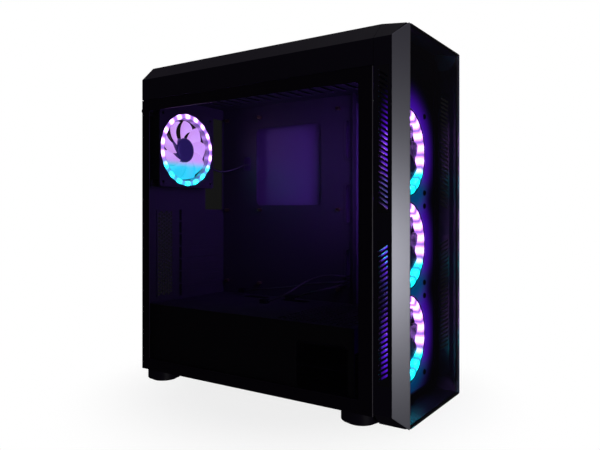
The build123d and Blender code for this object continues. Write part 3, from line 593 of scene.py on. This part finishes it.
MESH_PITCH = 0.0022
nylon = mesh_black.material
top_filter = filter_mesh(
    "top_filter", (-0.060, 0.060), (-0.120, 0.180), (0.4795, 0.4815), 0.006, MESH_PITCH, 5, nylon)
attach(top_filter, "top_dust_filter")
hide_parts("top_dust_filter")
low_filter = join(
    filter_mesh("lower_filter", (-0.0455, 0.0455), (0.068, 0.214), (0.015, 0.0172), 0.005, MESH_PITCH, 2, nylon),
    bar("tongue", (-0.0455, 0.214, 0.015), (0.0455, 0.217, 0.0172), nylon),
    bar("pull", (-0.023, 0.214, 0.010), (0.023, 0.218, 0.015), nylon))
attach(low_filter, "psu_dust_filter")
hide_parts("psu_dust_filter")

# ---------------------------------------------------------------------------
# Leads: soft black jackets. One joins the rear fan to the hub behind the
# tray; the other three lie loose above the shroud and end in small plugs.
jacket = Finish("cable jacket", (0.012, 0.012, 0.014), 0.5)
jacket.grain(700, 0.0001)


def lead(name, route, thick, material):
    """A round cord that follows a route through its straight runs."""
    curve = bpy.data.curves.new(name, "CURVE")
    curve.dimensions = "3D"
    curve.bevel_depth = thick / 2
    curve.bevel_resolution = 4
    curve.resolution_u = 10
    curve.render_resolution_u = 10
    curve.use_fill_caps = True
    line = curve.splines.new("NURBS")
    line.points.add(len(route) - 1)
    for point, place in zip(line.points, route):
        point.co = (place[0] / 1000, place[1] / 1000, place[2] / 1000, 1)
    line.order_u = 3
    line.use_endpoint_u = True
    curve.materials.append(material)
    made = bpy.data.objects.new(name, curve)
    bpy.context.scene.collection.objects.link(made)
    return made


REAR = [(30, 192, 332), (44, 190, 327), (58, 183, 327), (70, 174, 332), (79, 164, 338), (87, 154, 341)]
rear_lead = lead("rear_fan_cable", REAR, 0.0032, jacket.material)
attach(rear_lead, "chassis")
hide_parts("rear_fan_lead")

HEADERS = (
    ("long_header_lead", 0.2140, ((0.061, 0.145, 0.121), (0.071, 0.157, 0.127)), (
        (87, -46, 152), (72, -45, 151), (60, -36, 150), (56, -14, 148), (60, 14, 144), (64, 42, 138),
        (60, 70, 134), (54, 98, 131), (58, 124, 128), (66, 144, 124))),
    ("short_header_lead", 0.1335, ((0.057, 0.045, 0.1175), (0.067, 0.057, 0.1245)), (
        (87, -43.5, 146), (70, -43, 146), (52, -38, 144), (38, -24, 140), (34, -4, 134), (42, 14, 129),
        (56, 26, 125), (62, 44, 122))),
    ("middle_header_lead", 0.1430, ((0.008, 0.059, 0.116), (0.018, 0.071, 0.122)), (
        (87, -45, 158), (74, -43, 158), (66, -30, 160), (64, -10, 158), (56, 8, 152), (44, 20, 144),
        (30, 28, 134), (18, 42, 125), (14, 58, 119.5))))
for name, length, corners, route in HEADERS:
    cable = lead(name, route, 0.0034, jacket.material)
    plug = bar(name + "_plug", *corners, gloss.material)
    for piece, node, finish in ((cable, "header_leads", "cord_jacket"), (plug, "header_plugs", "gloss_black")):
        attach(piece, "chassis")
        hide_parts(node)

# ---------------------------------------------------------------------------
# Stage: pale floor that fades into the white around it, broad soft lights and
# a level camera at the height of the case's middle.
floor_finish = Finish("pale floor", (0.93, 0.93, 0.93), 0.6, Specular_IOR_Level=0.2)
x, y, z = floor_finish.place().split()
reach = (x * x + y * y) ** 0.5
floor_finish.vary("Alpha", 0.16 - 0.16 * reach.step(0.12, 0.34))
CORNERS = [(-2, -2, -0.0002), (2, -2, -0.0002), (2, 2, -0.0002), (-2, 2, -0.0002)]
floor = mesh_object("floor", CORNERS, [(0, 1, 2, 3)], floor_finish.material, smooth=False)


def soft_light(name, place, aim, width, height, power, colour=(1, 1, 1), spread=180):
    """A rectangular soft light pointed at a spot."""
    data = bpy.data.lights.new(name, "AREA")
    data.shape = "RECTANGLE"
    data.size = width
    data.size_y = height
    data.energy = power
    data.color = colour
    data.spread = math.radians(spread)
    made = bpy.data.objects.new(name, data)
    made.location = place
    made.rotation_euler = (Vector(aim) - Vector(place)).to_track_quat("-Z", "Y").to_euler()
    bpy.context.scene.collection.objects.link(made)
    return made


soft_light("strip light", (-1.15, -1.75, 0.06), (-0.09, -0.21, 0.15), 0.7, 0.45, 3.7)
soft_light("top light", (-0.3, 0.2, 1.8), (0, 0, 0.4), 1.6, 1.6, 0.8)
inner_light = soft_light("ring spill", (-0.02, -0.12, 0.34), (0.08, 0.1, 0.3), 0.1, 0.2, 0.4, (0.3, 0.1, 1.0), 100)
inner_light.visible_camera = False
world = bpy.data.worlds.new("studio")
bpy.context.scene.world = world
world.use_nodes = True
tree = world.node_tree
seen = Shade.node(tree, "ShaderNodeLightPath", output="Is Camera Ray")
passed = Shade(tree, seen.socket.node.outputs["Transparent Depth"])
clear = passed.sum("LESS_THAN", passed, 1.5)
height = Shade.node(tree, "ShaderNodeTexCoord", output="Generated").split()[2]
around = 0.015 + 0.05 * height.step(-0.02, 0.8)
behind = clear + (1.0 - clear) * 0.012
sky = tree.nodes["Background"]
tree.links.new(seen.blend((0.86, 0.76, 1.0), (1, 1, 1)).socket, sky.inputs["Color"])
tree.links.new((seen * behind + (1.0 - seen) * around).socket, sky.inputs["Strength"])
camera_data = bpy.data.cameras.new("camera")
camera_data.lens = 35.7
camera_data.sensor_width = 36
camera_data.shift_y = -0.02
camera = bpy.data.objects.new("camera", camera_data)
camera.location = (-0.7222, -0.4975, 0.256)
camera.rotation_euler = (math.radians(90), 0, math.radians(-56))
bpy.context.scene.collection.objects.link(camera)
bpy.context.scene.camera = camera
bpy.context.scene.view_settings.view_transform = "Standard"
